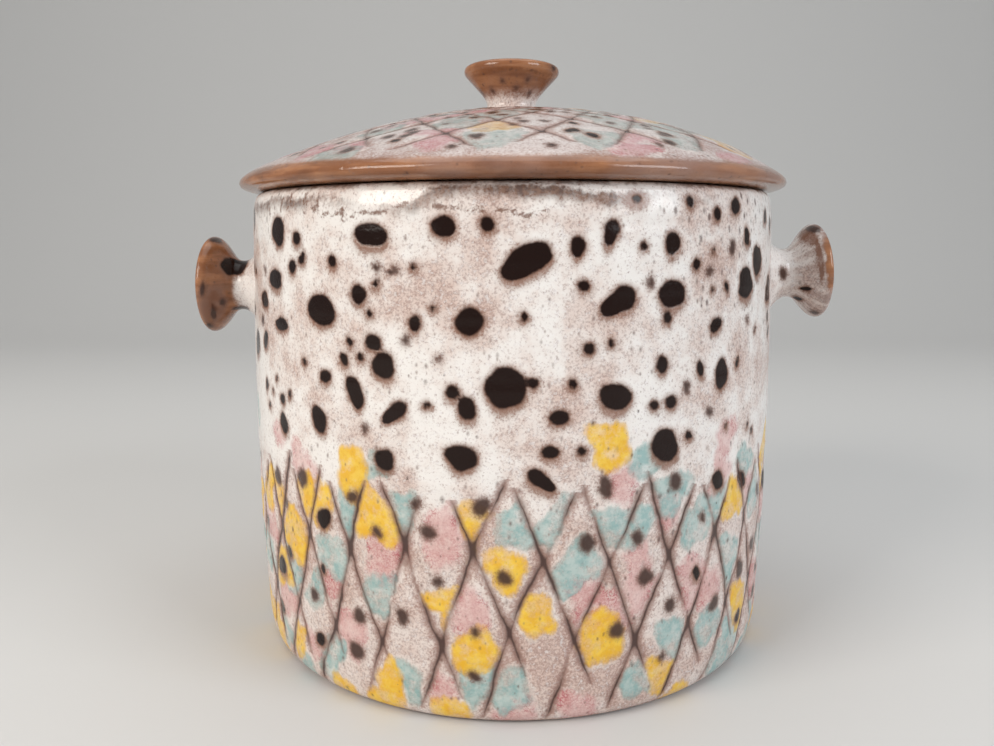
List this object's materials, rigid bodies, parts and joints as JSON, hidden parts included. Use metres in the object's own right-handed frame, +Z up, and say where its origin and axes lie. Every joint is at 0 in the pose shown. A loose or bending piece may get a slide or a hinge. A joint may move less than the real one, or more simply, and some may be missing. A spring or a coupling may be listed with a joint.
{
  "type": "soup tureen",
  "caption": "Round stoneware soup tureen with spool-shaped lug handles and a low domed lift-off lid with a trumpet knob, glazed white over an incised lattice with brown spots.",
  "frame": {"origin": "centre of the circle on which the foot ring stands, on the table plane", "axes": "+Z up along the pot's turning axis, +X towards the right-hand lug as seen in the picture, -Y towards the viewer"},
  "size_m": [0.2508, 0.2106, 0.2216],
  "materials": {
    "pot_glaze": "glossy",
    "left_handle_glaze": "glossy",
    "right_handle_glaze": "glossy",
    "lid_glaze": "glossy",
    "flange_glaze": "glossy",
    "knob_glaze": "glossy"
  },
  "bodies": {
    "pot": {"pot_body": "pot_glaze", "left_handle": "left_handle_glaze", "right_handle": "right_handle_glaze"},
    "lid": {"lid": "lid_glaze", "lid_flange": "flange_glaze", "lid_knob": "knob_glaze"}
  },
  "joints": [
    {"name": "lid_lift", "type": "slide", "parent": "pot", "child": "lid", "axis": [0, 0, 1], "range_m": [0, 0.16]}
  ]
}
